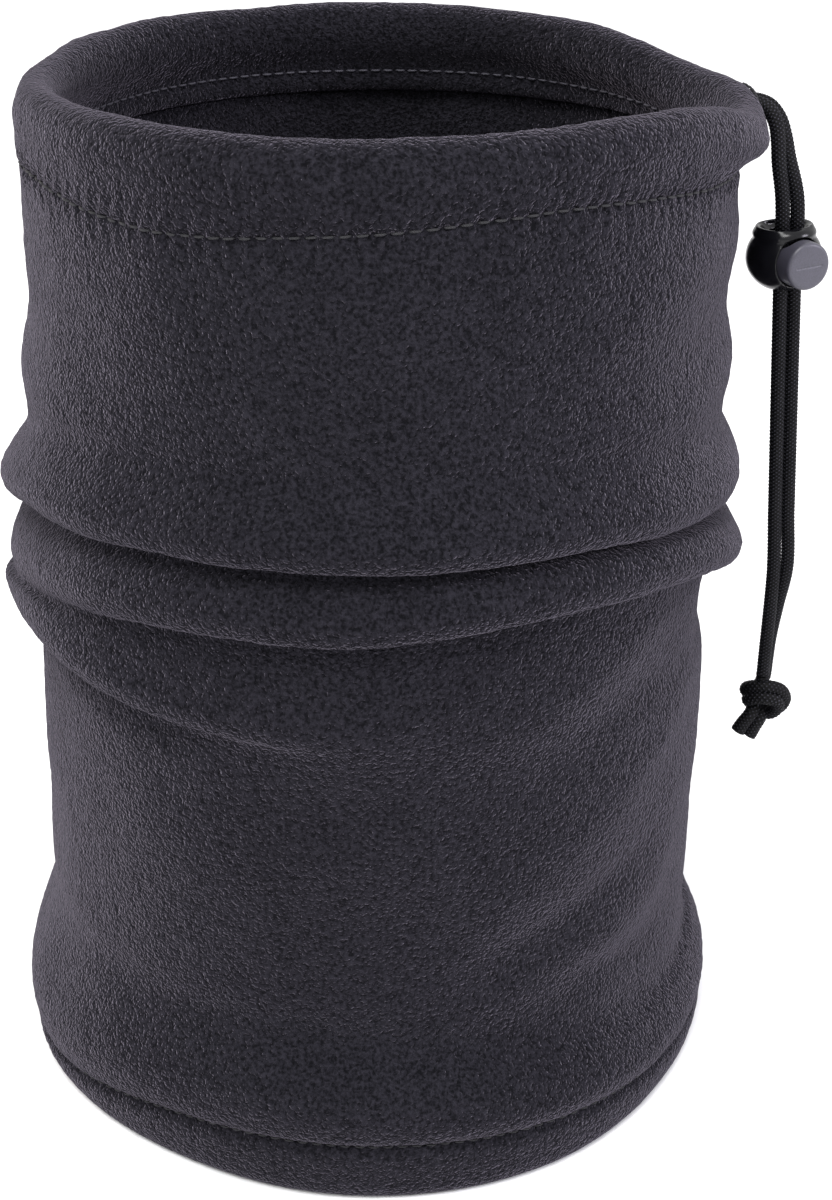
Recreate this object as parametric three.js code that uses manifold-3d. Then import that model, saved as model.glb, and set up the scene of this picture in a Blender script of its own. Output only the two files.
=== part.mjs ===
// Neck gaiter: a fleece tube with a drawcord casing round its top edge, a folded bottom hem, and a
// sprung cord lock on the two cord ends. Millimetres, +Z up, base centre at the origin, the cord
// comes out on the +X side. The tube stands slumped into three soft rolls.

import * as THREE from 'three';
import { mergeVertices } from 'three/addons/utils/BufferGeometryUtils.js';
import Module from 'manifold-3d';

const wasm = await Module();
wasm.setup();

// ---------- driving dimensions ----------

// Cloth tube
const tubeHeight = 220;
const neckRadius = 72.2; // half width of the tube at its top
const bodyRadius = 74.3; // half width below the rolls
const hemRadius = 80.2; // half width of the spread bottom edge
const neckDepthExtra = 3.2; // the top is this much deeper, front to back, than it is wide
const neckShift = 3.6; // the top leans this far towards the cord
const fleeceThickness = 2.3;
const clothGap = 0.3; // between one layer of cloth and the next

// Cord
const cordDiameter = 3;
const cordSides = 8;
const cordGap = 0.4; // between the two ends where they run side by side
const cordPitch = cordDiameter + cordGap;
const tunnelRoom = 0.4; // between the cord and the cloth round it
const tunnelFloor = 0.1; // the tunnel keeps its full width at least this far below the cord

// Bottom hem
const hemHeight = 13;
const hemFootSpread = 0.4; // the fold at the foot stands out this much
const hemTurnUp = 11; // height of the inside layer
const hemFlareTop = 40; // where the spread bottom has narrowed to the body
const hemSlump = 1.6; // how far the cloth bulges just over the hem
const hemSlumpHeight = 20;

// Casing round the top edge
const casingHeight = 16; // stitch line to crest
const casingHalfThickness = cordDiameter / 2 + tunnelRoom + fleeceThickness;
const casingPuff = 1; // the casing swells this much halfway up
const casingTurnDown = 4; // the inside layer runs this far below the stitch line
const rimRadius = 68.3; // half width of the crest
const rimDepthExtra = 4;
const tipReach = 4.6; // the crest is drawn out at the cord
const tipDrop = 5.5;
const tipSpread = 17; // degrees
const farSideDrop = 2.5;

// Rolls: crest height at the sides, rise of the crest at the front, how far it stands out
const rolls = [
  { side: 140, frontRise: 8, out: 6.8, above: 12, below: 7.5, from: -180, to: 180, fade: 0 },
  { side: 121, frontRise: 11, out: 7, above: 8.5, below: 7.5, from: -180, to: 180, fade: 0 },
  { side: 109, frontRise: 3, out: 5.6, above: 9, below: 7, from: 148, to: 266, fade: 34 },
];

// Cord lock
const lockDiameter = 16;
const lockHeight = 14.5;
const lockMouthDiameter = 11.4;
const lockMouthHeight = 1.1;
const lockMiddleHeight = 178.5;
const lockBack = 1.6; // the ball's middle is this far behind the cords
const plungerDiameter = 10;
const plungerProud = 1.9; // how far the button's face stands out of the ball
const plungerTravel = 3;
const plungerBridge = 1.2; // wall behind the plunger's cord hole
const plungerTaper = 1.6;
const plungerEdge = 0.6; // bevel round the button's face
const cordPassage = 1.4; // the ball's cord hole is this much wider than the cords need
const runningGap = 0.3;
const springWire = 0.5;
const springTurns = 2.5;

// Knot
const knotWidth = 10.5;
const knotStrand = 3.4;
const cutEndLength = 8;

// Buttonhole in the casing
const exitAngle = THREE.MathUtils.degToRad(7);
const exitRise = 0.6; // middle of the hole above the middle of the cord in the tunnel
const buttonholeWidth = 8.6;
const buttonholeHeight = 4.2;

// Threads
const threadThickness = 0.6;
const threadGap = 0.3;
const stitchInset = 1.6; // from the edge of the turned layer or the foot of the casing

// Seam that closes the cloth into a tube
const seamAngle = 14; // degrees, just behind the cord's exit
const seamAllowance = 6;

const segmentsRound = 48;

// ---------- shared shapes ----------

const radians = THREE.MathUtils.degToRad;

function smooth(low, high, value) {
  return THREE.MathUtils.smoothstep(value, low, high);
}

// The direction of an angle, folded into -180 to 180 degrees.
function fold(degrees) {
  return ((((degrees + 180) % 360) + 360) % 360) - 180;
}

function bell(offset, spread) {
  return Math.exp(-(offset * offset) / (2 * spread * spread));
}

function ovalRadius(angle, halfWidth, depthExtra, shift) {
  const mean = halfWidth + depthExtra / 2;
  return mean - (depthExtra / 2) * Math.cos(2 * angle) + shift * Math.cos(angle);
}

// Outside radius of the cloth with no rolls.
function plainRadius(angle, z) {
  const rise = smooth(hemFlareTop, tubeHeight, z);
  const flare = 1 - smooth(hemSlumpHeight, hemFlareTop, z);
  const halfWidth = bodyRadius + (neckRadius - bodyRadius) * rise + (hemRadius - bodyRadius) * flare;
  return ovalRadius(angle, halfWidth, neckDepthExtra * rise, neckShift * smooth(0, tubeHeight, z));
}

function rollStrength(roll, degrees) {
  if (roll.fade === 0) return 1;
  const middle = (roll.from + roll.to) / 2;
  const halfSpan = (roll.to - roll.from) / 2;
  return 1 - smooth(halfSpan - roll.fade, halfSpan, Math.abs(fold(degrees - middle)));
}

function rollCrest(roll, angle) {
  const facing = Math.sin(angle);
  return roll.side + roll.frontRise * facing * facing * (facing < 0 ? 1 : 0.4);
}

// Outside radius of the cloth, rolls and the slump over the hem included.
function clothRadius(angle, z) {
  let radius = plainRadius(angle, z);
  const degrees = THREE.MathUtils.radToDeg(angle);
  for (const roll of rolls) {
    const offset = z - rollCrest(roll, angle);
    const reach = offset > 0 ? roll.above : roll.below;
    const share = Math.min(1, Math.abs(offset) / reach);
    radius += roll.out * rollStrength(roll, degrees) * (0.5 + 0.5 * Math.cos(Math.PI * share));
  }
  return radius + hemSlump * bell(z - hemSlumpHeight, hemSlumpHeight / 5);
}

function crestRadius(angle) {
  const degrees = fold(THREE.MathUtils.radToDeg(angle));
  return ovalRadius(angle, rimRadius, rimDepthExtra, neckShift) + tipReach * bell(degrees, tipSpread);
}

function crestHeight(angle) {
  const degrees = fold(THREE.MathUtils.radToDeg(angle));
  const spread = degrees > 0 ? 2 * tipSpread : tipSpread;
  const farSide = farSideDrop * bell(fold(degrees - 180), 2 * tipSpread);
  return tubeHeight - tipDrop * bell(degrees, spread) - farSide;
}

// ---------- mesh making ----------

// Joins a row of closed sections, each a list of points going round once. The row either closes on
// itself or gets a flat end at each side.
function loftGeometry(sections, closed) {
  const count = sections[0].length;
  const positions = sections.flat().flatMap((point) => [point.x, point.y, point.z]);
  const faces = [];
  const joins = closed ? sections.length : sections.length - 1;
  for (let i = 0; i < joins; i++) {
    const here = i * count;
    const next = ((i + 1) % sections.length) * count;
    for (let j = 0; j < count; j++) {
      const k = (j + 1) % count;
      faces.push(here + j, next + j, next + k, here + j, next + k, here + k);
    }
  }
  if (!closed) {
    const last = (sections.length - 1) * count;
    for (let j = 1; j < count - 1; j++) {
      faces.push(0, j, j + 1, last, last + j + 1, last + j);
    }
  }
  const geometry = new THREE.BufferGeometry();
  geometry.setAttribute('position', new THREE.Float32BufferAttribute(positions, 3));
  geometry.setIndex(faces);
  return geometry;
}

// A ring about the tube's axis whose section, a list of [radius, z], may change with the angle.
function ringGeometry(sectionAt) {
  const sections = Array.from({ length: segmentsRound }, (_, i) => {
    const angle = (2 * Math.PI * i) / segmentsRound;
    return sectionAt(angle).map(
      ([radius, z]) => new THREE.Vector3(radius * Math.cos(angle), radius * Math.sin(angle), z),
    );
  });
  return loftGeometry(sections, true);
}

function tubeGeometry(curve, radius, sides, steps) {
  const section = new THREE.Shape();
  for (let i = 0; i < sides; i++) {
    const angle = (2 * Math.PI * i) / sides;
    const x = radius * Math.cos(angle);
    const y = radius * Math.sin(angle);
    if (i === 0) section.moveTo(x, y);
    else section.lineTo(x, y);
  }
  section.closePath();
  return new THREE.ExtrudeGeometry(section, { steps, extrudePath: curve, bevelEnabled: false });
}

function toSolid(geometry) {
  const bare = geometry.clone();
  for (const name of Object.keys(bare.attributes)) {
    if (name !== 'position') bare.deleteAttribute(name);
  }
  const merged = mergeVertices(bare, 1e-4);
  return new wasm.Manifold(
    new wasm.Mesh({
      numProp: 3,
      vertProperties: new Float32Array(merged.attributes.position.array),
      triVerts: new Uint32Array(merged.index.array),
    }),
  );
}

function toGeometry(solid) {
  const made = solid.getMesh();
  const geometry = new THREE.BufferGeometry();
  geometry.setAttribute('position', new THREE.Float32BufferAttribute(Array.from(made.vertProperties), 3));
  geometry.setIndex(Array.from(made.triVerts));
  return geometry;
}

function cut(geometry, ...tools) {
  return toGeometry(tools.map(toSolid).reduce((whole, tool) => whole.subtract(tool), toSolid(geometry)));
}

function join(...pieces) {
  const [first, ...rest] = pieces.map(toSolid);
  return toGeometry(rest.reduce((whole, piece) => whole.add(piece), first));
}

function finish(color, roughness, metalness = 0) {
  return new THREE.MeshStandardMaterial({ color, roughness, metalness });
}

const fleeceFinish = () => finish('#2c2b31', 0.95);
const threadFinish = () => finish('#26252b', 0.8);
const cordFinish = () => finish('#151518', 0.75);
const lockFinish = () => finish('#111115', 0.35);

const gaiter = new THREE.Group();

function addMesh(name, geometry, material, parent = gaiter) {
  const mesh = new THREE.Mesh(geometry, material);
  mesh.name = name;
  parent.add(mesh);
  return mesh;
}

function levels(low, high, step) {
  const count = Math.max(1, Math.ceil((high - low) / step));
  return Array.from({ length: count }, (_, i) => low + ((high - low) * i) / count);
}

// ---------- cloth ----------

const stitchHeight = tubeHeight - casingHeight;

const foldZoneLow = Math.min(...rolls.map((roll) => roll.side - roll.below));
const foldZoneHigh = Math.max(...rolls.map((roll) => roll.side + roll.above));

// Heights of the panel's rows at the sides, closer together through the rolls.
const panelLow = hemHeight + clothGap;
const panelHigh = stitchHeight - clothGap;
const panelRows = [
  ...levels(panelLow, hemFlareTop, 6),
  ...levels(hemFlareTop, foldZoneLow, 16),
  ...levels(foldZoneLow, foldZoneHigh, 4.2),
  ...levels(foldZoneHigh, panelHigh, 11),
  panelHigh,
];

// Towards the front the rows climb with the rolls.
function rowHeight(row, angle) {
  const lift = rollCrest(rolls[0], angle) - rolls[0].side;
  const share = smooth(hemFlareTop, foldZoneLow, row) * (1 - smooth(foldZoneHigh, panelHigh, row));
  return row + lift * share;
}

function bodyPanel() {
  return ringGeometry((angle) => {
    const outside = panelRows.map((row) => {
      const z = rowHeight(row, angle);
      return [clothRadius(angle, z), z];
    });
    const inside = outside.map(([radius, z]) => [radius - fleeceThickness, z]);
    return [...outside, ...inside.reverse()];
  });
}

// The hem: the cloth turned up inside itself, flat where it stands.
function bottomHem() {
  return ringGeometry((angle) => {
    const outer = clothRadius(angle, hemHeight);
    const foot = outer + hemFootSpread;
    const middle = outer - fleeceThickness;
    const inner = middle - clothGap - fleeceThickness;
    return [
      [outer, hemHeight],
      [middle, hemHeight],
      [middle, fleeceThickness],
      [middle - clothGap, fleeceThickness],
      [middle - clothGap, hemTurnUp],
      [inner, hemTurnUp],
      [inner, fleeceThickness / 2],
      [inner + fleeceThickness / 2, 0],
      [foot - fleeceThickness / 2, 0],
      [foot, fleeceThickness / 2],
      [foot, hemHeight / 2],
    ];
  });
}

// Where the casing's section lies at an angle: its crest, its shoulder, its foot on the panel, and
// the outer and inner face halfway up.
function casingPlan(angle) {
  const crest = crestRadius(angle);
  const top = crestHeight(angle);
  const shoulder = top - casingHalfThickness;
  const foot = clothRadius(angle, stitchHeight);
  const innerFoot = foot - 2 * fleeceThickness - clothGap;
  const halfway = Math.min((stitchHeight + shoulder) / 2, shoulder - cordDiameter - tunnelFloor);
  return {
    crest,
    top,
    shoulder,
    foot,
    innerFoot,
    halfway,
    outerHalfway: (foot + crest + casingHalfThickness) / 2 + casingPuff,
    innerHalfway: (innerFoot + crest - casingHalfThickness) / 2 - casingPuff,
  };
}

// The casing: the cloth turned over the cord and down inside the neck, open along its foot.
function casingSection(angle) {
  const plan = casingPlan(angle);
  const { crest, shoulder, foot, innerFoot, halfway } = plan;
  const across = casingHalfThickness * Math.SQRT1_2;
  const tunnelHalf = casingHalfThickness - fleeceThickness;
  return [
    [foot, stitchHeight],
    [plan.outerHalfway, halfway],
    [crest + casingHalfThickness, shoulder],
    [crest + across, shoulder + across],
    [crest, plan.top],
    [crest - across, shoulder + across],
    [crest - casingHalfThickness, shoulder],
    [plan.innerHalfway, halfway],
    [innerFoot, stitchHeight],
    [innerFoot, stitchHeight - casingTurnDown],
    [innerFoot + fleeceThickness, stitchHeight - casingTurnDown],
    [innerFoot + fleeceThickness, stitchHeight + clothGap],
    [plan.innerHalfway + fleeceThickness, halfway],
    [crest - tunnelHalf, shoulder],
    [crest, shoulder + tunnelHalf],
    [crest + tunnelHalf, shoulder],
    [plan.outerHalfway - fleeceThickness, halfway],
    [foot - fleeceThickness, stitchHeight + clothGap],
    [foot - fleeceThickness, stitchHeight],
  ];
}

// ---------- cord routes ----------

// The two cord ends, from inside the casing out through the buttonhole. Laid by hand.
const frontExit = [
  [75.4, 7.6, 209.1],
  [78.2, 7.6, 209.3],
  [81.0, 7.5, 209.4],
  [83.0, 6.7, 208.3],
  [84.3, 5.5, 206.0],
  [84.9, 4.4, 202.6],
  [85.2, 3.5, 198.8],
];
const rearExit = [
  [75.2, 11.8, 209.1],
  [78.0, 11.8, 209.3],
  [80.8, 11.7, 209.4],
  [83.6, 10.8, 208.6],
  [85.6, 9.2, 206.4],
  [86.8, 7.5, 203.0],
  [87.6, 6.0, 199.2],
];
// Below the stretch that the lock slides on, down to the knot.
const frontDrop = [
  [91.4, 2.1, 97.0],
  [91.2, 1.8, 88.5],
  [91.1, 1.8, 80.5],
];
const rearDrop = [
  [93.6, 4.7, 97.0],
  [92.7, 5.2, 88.5],
  [92.3, 5.2, 80.5],
];

// The middle of the pair where it hangs straight, and the directions of the lock on it.
const slideTop = new THREE.Vector3(87.9, 3.2, 192);
const slideBottom = new THREE.Vector3(93.1, 3.2, 106);
const slideAxis = slideTop.clone().sub(slideBottom).normalize();
const buttonAxis = new THREE.Vector3(0.375, -0.927, 0);
buttonAxis.addScaledVector(slideAxis, -buttonAxis.dot(slideAxis)).normalize();
const pairAxis = new THREE.Vector3().crossVectors(slideAxis, buttonAxis).normalize();
const straightSteps = 7;

function tailRoute(exitPoints, dropPoints, side) {
  const straight = Array.from({ length: straightSteps }, (_, i) =>
    slideTop
      .clone()
      .lerp(slideBottom, i / (straightSteps - 1))
      .addScaledVector(pairAxis, (side * cordPitch) / 2),
  );
  const toVector = (point) => new THREE.Vector3(...point);
  return [...exitPoints.map(toVector), ...straight, ...dropPoints.map(toVector)];
}

function cordTail(route) {
  const curve = new THREE.CatmullRomCurve3(route);
  const steps = Math.min(60, Math.ceil(curve.getLength() / (1.6 * cordDiameter)));
  return tubeGeometry(curve, cordDiameter / 2, cordSides, steps);
}

// Middle of the tunnel at an angle, just under the shoulder, where the rest of the cord lies.
function tunnelMiddle(angle) {
  const plan = casingPlan(angle);
  const z = plan.shoulder - cordDiameter / 2 - threadGap;
  const share = (z - plan.halfway) / (plan.shoulder - plan.halfway);
  const halfwayMiddle = (plan.outerHalfway + plan.innerHalfway) / 2;
  const radius = THREE.MathUtils.lerp(halfwayMiddle, plan.crest, share);
  return new THREE.Vector3(radius * Math.cos(angle), radius * Math.sin(angle), z);
}

function drawcordLoop() {
  const besideExit = (cordPitch / 2 + cordDiameter + clothGap) / crestRadius(exitAngle);
  const from = exitAngle + besideExit;
  const to = exitAngle + 2 * Math.PI - besideExit;
  const count = 60;
  const points = Array.from({ length: count + 1 }, (_, i) =>
    tunnelMiddle(THREE.MathUtils.lerp(from, to, i / count)),
  );
  return tubeGeometry(new THREE.CatmullRomCurve3(points), cordDiameter / 2, cordSides, 1.2 * count);
}

// ---------- buttonhole ----------

// A frame at the buttonhole: +X points out of it, and it lies this far outside the casing's face.
function placeAtExit(outward) {
  const radius = crestRadius(exitAngle) + casingHalfThickness + outward;
  const height = tunnelMiddle(exitAngle).z + exitRise;
  const frame = new THREE.Matrix4().makeRotationZ(exitAngle);
  frame.setPosition(radius * Math.cos(exitAngle), radius * Math.sin(exitAngle), height);
  return frame;
}

function casing() {
  const depth = 2 * casingHalfThickness - fleeceThickness;
  const hole = new THREE.BoxGeometry(depth, buttonholeWidth, buttonholeHeight);
  hole.applyMatrix4(placeAtExit(fleeceThickness - depth / 2));
  return cut(ringGeometry(casingSection), hole);
}

// Whipped edge of the buttonhole: a ring with blunt corners lying just off the casing.
function buttonholeStitching() {
  const blunt = (value) => Math.sign(value) * Math.abs(value) ** 0.6;
  const steps = 28;
  const sections = Array.from({ length: steps }, (_, i) => {
    const turn = (2 * Math.PI * i) / steps;
    const across = buttonholeWidth / 2 + threadThickness;
    const up = buttonholeHeight / 2 + threadThickness;
    return Array.from({ length: 6 }, (_, j) => {
      const around = (2 * Math.PI * j) / 6;
      const reach = (threadThickness / 2) * Math.cos(around);
      const point = new THREE.Vector3(
        (threadThickness / 2) * Math.sin(around),
        (across + reach) * blunt(Math.cos(turn)),
        (up + reach) * blunt(Math.sin(turn)),
      );
      return point.applyMatrix4(placeAtExit(threadThickness / 2 + 1.6 * threadGap));
    });
  });
  return loftGeometry(sections, true);
}

// ---------- threads and seam ----------

function threadRing(radiusAt, z) {
  const half = threadThickness / 2;
  return ringGeometry((angle) => {
    const middle = radiusAt(angle);
    return [
      [middle + half, z - half],
      [middle + half, z + half],
      [middle - half, z + half],
      [middle - half, z - half],
    ];
  });
}

const threadOff = threadGap + threadThickness / 2;
const casingThreadHeight = stitchHeight - stitchInset;
const hemThreadHeight = hemTurnUp - stitchInset;
const twoLayers = 2 * fleeceThickness + clothGap;

// The overlocked seam: a flat run of thread on the inside of the panel from hem to casing.
function seamThread() {
  const rows = panelRows.filter((row) => row < stitchHeight - casingTurnDown);
  const halfAngle = seamAllowance / 2 / bodyRadius;
  const sections = rows.map((row) =>
    [
      [-1, 0],
      [-1, -2 * threadThickness],
      [1, -2 * threadThickness],
      [1, 0],
    ].map(([side, depth]) => {
      const angle = radians(seamAngle) + side * halfAngle;
      const z = rowHeight(row, angle);
      const radius = clothRadius(angle, z) - fleeceThickness - 1.5 * threadGap + depth;
      return new THREE.Vector3(radius * Math.cos(angle), radius * Math.sin(angle), z);
    }),
  );
  return loftGeometry(sections, false);
}

// ---------- cord lock ----------

const lock = new THREE.Group();
const lockShare = (slideTop.z - lockMiddleHeight) / (slideTop.z - slideBottom.z);
lock.position.copy(slideTop.clone().lerp(slideBottom, lockShare));
lock.quaternion.setFromRotationMatrix(new THREE.Matrix4().makeBasis(buttonAxis, pairAxis, slideAxis));
gaiter.add(lock);

// In the lock's own frame the cords lie at x = 0, side by side along y, and the button faces +X.
const cordClear = cordDiameter / 2 + runningGap;
const boreRadius = plungerDiameter / 2 + runningGap;
const buttonFace = lockDiameter / 2 - lockBack + plungerProud;
const plungerBack = -cordClear - plungerBridge;
const boreEnd = plungerBack - plungerTravel - runningGap;
const backRadius = plungerDiameter / 2 - plungerTaper;

function lathe(points, segments = 24) {
  return new THREE.LatheGeometry(
    points.map(([radius, along]) => new THREE.Vector2(radius, along)),
    segments,
  );
}

// A slot for both cords, long across them, standing along z.
function cordSlot(low, high) {
  const reach = cordPitch / 2;
  const shape = new THREE.Shape();
  shape.absarc(low + cordClear, -reach, cordClear, Math.PI, 1.5 * Math.PI, false);
  shape.absarc(high - cordClear, -reach, cordClear, 1.5 * Math.PI, 2 * Math.PI, false);
  shape.absarc(high - cordClear, reach, cordClear, 0, 0.5 * Math.PI, false);
  shape.absarc(low + cordClear, reach, cordClear, 0.5 * Math.PI, Math.PI, false);
  shape.closePath();
  const slot = new THREE.ExtrudeGeometry(shape, {
    depth: 2 * lockHeight,
    bevelEnabled: false,
    curveSegments: 8,
  });
  return slot.translate(0, 0, -lockHeight);
}

function lockBody() {
  const half = lockHeight / 2;
  const shoulder = half - lockMouthHeight;
  const bulge = [-70, -50, -30, -10, 10, 30].map((degrees) => [
    (lockDiameter / 2) * Math.cos(radians(degrees)),
    half * Math.sin(radians(degrees)),
  ]);
  const ball = lathe([
    [0, -half],
    ...bulge,
    [lockMouthDiameter / 2 + 0.5, shoulder],
    [lockMouthDiameter / 2, half],
    [0, half],
  ]);
  ball.rotateX(Math.PI / 2).translate(-lockBack, 0, 0);
  const bore = lathe([
    [0, boreEnd],
    [backRadius + runningGap, boreEnd],
    [boreRadius, boreEnd + plungerBridge],
    [boreRadius, lockDiameter],
    [0, lockDiameter],
  ]);
  bore.rotateZ(-Math.PI / 2);
  return cut(ball, bore, cordSlot(-cordClear - cordPassage, cordClear));
}

function lockPlunger() {
  const radius = plungerDiameter / 2;
  const rod = lathe([
    [0, plungerBack],
    [backRadius, plungerBack],
    [radius, plungerBack + plungerBridge],
    [radius, buttonFace - plungerEdge],
    [radius - plungerEdge, buttonFace],
    [0, buttonFace],
  ]);
  rod.rotateZ(-Math.PI / 2);
  return cut(rod, cordSlot(-cordClear, cordClear + plungerTravel + runningGap));
}

function lockSpring() {
  const first = plungerBack - runningGap - springWire / 2;
  const last = boreEnd + runningGap + springWire / 2;
  const wide = backRadius - springWire;
  const narrow = wide - springTurns * 1.4 * springWire;
  const count = Math.round(springTurns * 12);
  const points = Array.from({ length: count + 1 }, (_, i) => {
    const share = i / count;
    const turn = 2 * Math.PI * springTurns * share;
    const radius = wide + (narrow - wide) * share;
    const along = first + (last - first) * share;
    return new THREE.Vector3(along, radius * Math.cos(turn), radius * Math.sin(turn));
  });
  return tubeGeometry(new THREE.CatmullRomCurve3(points), springWire / 2, 6, count);
}

// ---------- knot ----------

const knotMiddle = new THREE.Vector3(92.0, 3.4, 74.2);
const cutEndDirection = new THREE.Vector3(-0.42, -0.16, -0.9).normalize();

function rodGeometry(from, to, radius) {
  return tubeGeometry(new THREE.LineCurve3(from, to), radius, 10, 1);
}

// Two strands wrapped over each other, with the short cut ends below.
function endKnot() {
  const core = new THREE.SphereGeometry(knotStrand, 14, 10);
  core.scale(1.1, 1, 1.15).translate(...knotMiddle);
  const wrap = new THREE.TorusGeometry(knotWidth / 2 - knotStrand / 2, knotStrand / 2, 8, 20);
  wrap.rotateX(radians(68)).rotateY(radians(18)).translate(...knotMiddle);
  const ends = [frontDrop, rearDrop].map((drop) => {
    const [x, y, z] = drop[drop.length - 1];
    const top = new THREE.Vector3(x, y, z - clothGap);
    return rodGeometry(top, new THREE.Vector3(x, y, knotMiddle.z), cordDiameter / 2);
  });
  const across = new THREE.Vector3().crossVectors(cutEndDirection, buttonAxis).normalize();
  const cutEnds = [-1, 1].map((side) => {
    const start = knotMiddle.clone().addScaledVector(across, side * 0.4 * cordDiameter);
    const end = knotMiddle
      .clone()
      .addScaledVector(cutEndDirection, knotStrand / 2 + cutEndLength)
      .addScaledVector(across, side * 0.5 * cordDiameter);
    return rodGeometry(start, end, cordDiameter / 2);
  });
  return join(core, wrap, ...ends, ...cutEnds);
}

// ---------- assembly ----------

addMesh('body_panel', bodyPanel(), fleeceFinish());
addMesh('drawcord_channel', casing(), fleeceFinish());
addMesh('bottom_hem', bottomHem(), fleeceFinish());
addMesh(
  'channel_needle_thread',
  threadRing((angle) => clothRadius(angle, casingThreadHeight) + threadOff, casingThreadHeight),
  threadFinish(),
);
addMesh(
  'channel_bobbin_thread',
  threadRing((angle) => clothRadius(angle, stitchHeight) - twoLayers - threadOff, casingThreadHeight),
  threadFinish(),
);
addMesh(
  'hem_needle_thread',
  threadRing((angle) => clothRadius(angle, hemHeight) + hemFootSpread + threadOff, hemThreadHeight),
  threadFinish(),
);
addMesh(
  'hem_bobbin_thread',
  threadRing((angle) => clothRadius(angle, hemHeight) - twoLayers - threadOff, hemThreadHeight),
  threadFinish(),
);
addMesh('seam_overlock_thread', seamThread(), threadFinish());
addMesh('buttonhole_stitching', buttonholeStitching(), threadFinish());
addMesh('drawcord_loop', drawcordLoop(), cordFinish());
addMesh('cord_tail_front', cordTail(tailRoute(frontExit, frontDrop, -1)), cordFinish());
addMesh('cord_tail_rear', cordTail(tailRoute(rearExit, rearDrop, 1)), cordFinish());
addMesh('end_knot', endKnot(), cordFinish());
addMesh('cord_lock_body', lockBody(), lockFinish(), lock);
addMesh('cord_lock_plunger', lockPlunger(), finish('#54525f', 0.45), lock);
addMesh('cord_lock_spring', lockSpring(), finish('#8a8c90', 0.35, 1), lock);

export default gaiter;
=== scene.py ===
import math

import bpy
import numpy as np
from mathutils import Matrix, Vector


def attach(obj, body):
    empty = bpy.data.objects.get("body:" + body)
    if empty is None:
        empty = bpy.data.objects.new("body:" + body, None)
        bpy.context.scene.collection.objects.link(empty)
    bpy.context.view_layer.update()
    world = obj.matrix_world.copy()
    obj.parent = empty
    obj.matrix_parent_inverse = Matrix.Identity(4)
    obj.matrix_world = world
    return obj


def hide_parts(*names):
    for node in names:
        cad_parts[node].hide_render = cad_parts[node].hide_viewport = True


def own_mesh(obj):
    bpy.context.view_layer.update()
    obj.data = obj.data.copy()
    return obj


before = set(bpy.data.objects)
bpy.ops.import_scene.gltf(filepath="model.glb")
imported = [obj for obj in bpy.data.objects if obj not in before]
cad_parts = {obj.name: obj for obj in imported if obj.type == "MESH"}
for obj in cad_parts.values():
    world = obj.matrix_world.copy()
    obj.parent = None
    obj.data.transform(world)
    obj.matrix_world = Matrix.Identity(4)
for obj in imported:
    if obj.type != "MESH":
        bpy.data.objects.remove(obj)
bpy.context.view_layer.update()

# A fleece neck gaiter standing on its hem, slumped into soft rolls, with a drawcord in a casing
# round the neck and a sprung ball lock on the two cord ends. Shapes are worked out in millimetres
# and turned to metres when a mesh is made. +Z is up, the cord comes out on the +X side.

MM = 0.001

# ---------- driving dimensions, in millimetres ----------

TUBE_HEIGHT = 220
NECK_RADIUS = 72.2
BODY_RADIUS = 74.3
HEM_RADIUS = 80.2
NECK_DEPTH_EXTRA = 3.2
NECK_SHIFT = 3.6
FLEECE = 2.2  # thickness of one layer
LAYER_GAP = 0.4

CASING_HEIGHT = 16
CASING_HALF = 4.2  # half of its thickness at the rim
CASING_TURN_DOWN = 4  # how far its inside edge runs below the stitch line
RIM_RADIUS = 68.3
RIM_DEPTH_EXTRA = 4
TIP_REACH = 4.6
TIP_DROP = 5.5
TIP_SPREAD = 17  # degrees
TIP_NOD = 2.8  # how far the tip hangs further down in front of the cords
TIP_NOD_SPREAD = 10  # degrees, like the other spreads
FAR_SIDE_DROP = 1.4
FAR_SIDE_DROP_SPREAD = 22
FAR_SIDE_TUCK = 1.3  # how far the far side of the rim is drawn in
FAR_SIDE_TUCK_SPREAD = 38
STITCH_HEIGHT = TUBE_HEIGHT - CASING_HEIGHT
HEM_TURN_UP = 11

STITCH_PITCH = 2.9
STITCH_LENGTH = 2.3
THREAD = 0.5
SEAM_ANGLE = 14  # degrees, just behind the cord
SEAM_ALLOWANCE = 6

CORD = 3.0
CORD_PITCH = 3.4
EXIT_ANGLE = 7  # degrees
BUTTONHOLE_WIDTH = 8.6
BUTTONHOLE_HEIGHT = 4.2

LOCK_DIAMETER = 16
LOCK_HEIGHT = 14.5
LOCK_MOUTH = 11.4
LOCK_MIDDLE_HEIGHT = 178.5
LOCK_BACK = 1.6  # the ball's middle is this far behind the cords
PLUNGER_DIAMETER = 10
PLUNGER_PROUD = 1.9
PLUNGER_TRAVEL = 3
PLUNGER_BRIDGE = 1.2
PLUNGER_TAPER = 1.6
CORD_PASSAGE = 1.4  # the housing's slot is this much deeper than the cords need
RUNNING_GAP = 0.3
SLOT_SPARE = 0.25  # room for the braid to pass the housing's slot
SPRING_WIRE = 0.5
SPRING_TURNS = 2.5
KNOT_MIDDLE = np.array([92.0, 3.4, 74.2])

COLUMNS = 576  # round the tube
ROW_SPACING = 0.85

angles = np.linspace(-np.pi, np.pi, COLUMNS, endpoint=False)
degrees = np.degrees(angles)


# ---------- small tools ----------

def smooth(low, high, value):
    share = np.clip((value - low) / (high - low), 0, 1)
    return share * share * (3 - 2 * share)


def bell(offset, spread):
    return np.exp(-(offset**2) / (2 * spread**2))


def turned(value):
    """Degrees folded into -180 to 180."""
    return (value + 180) % 360 - 180


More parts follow.
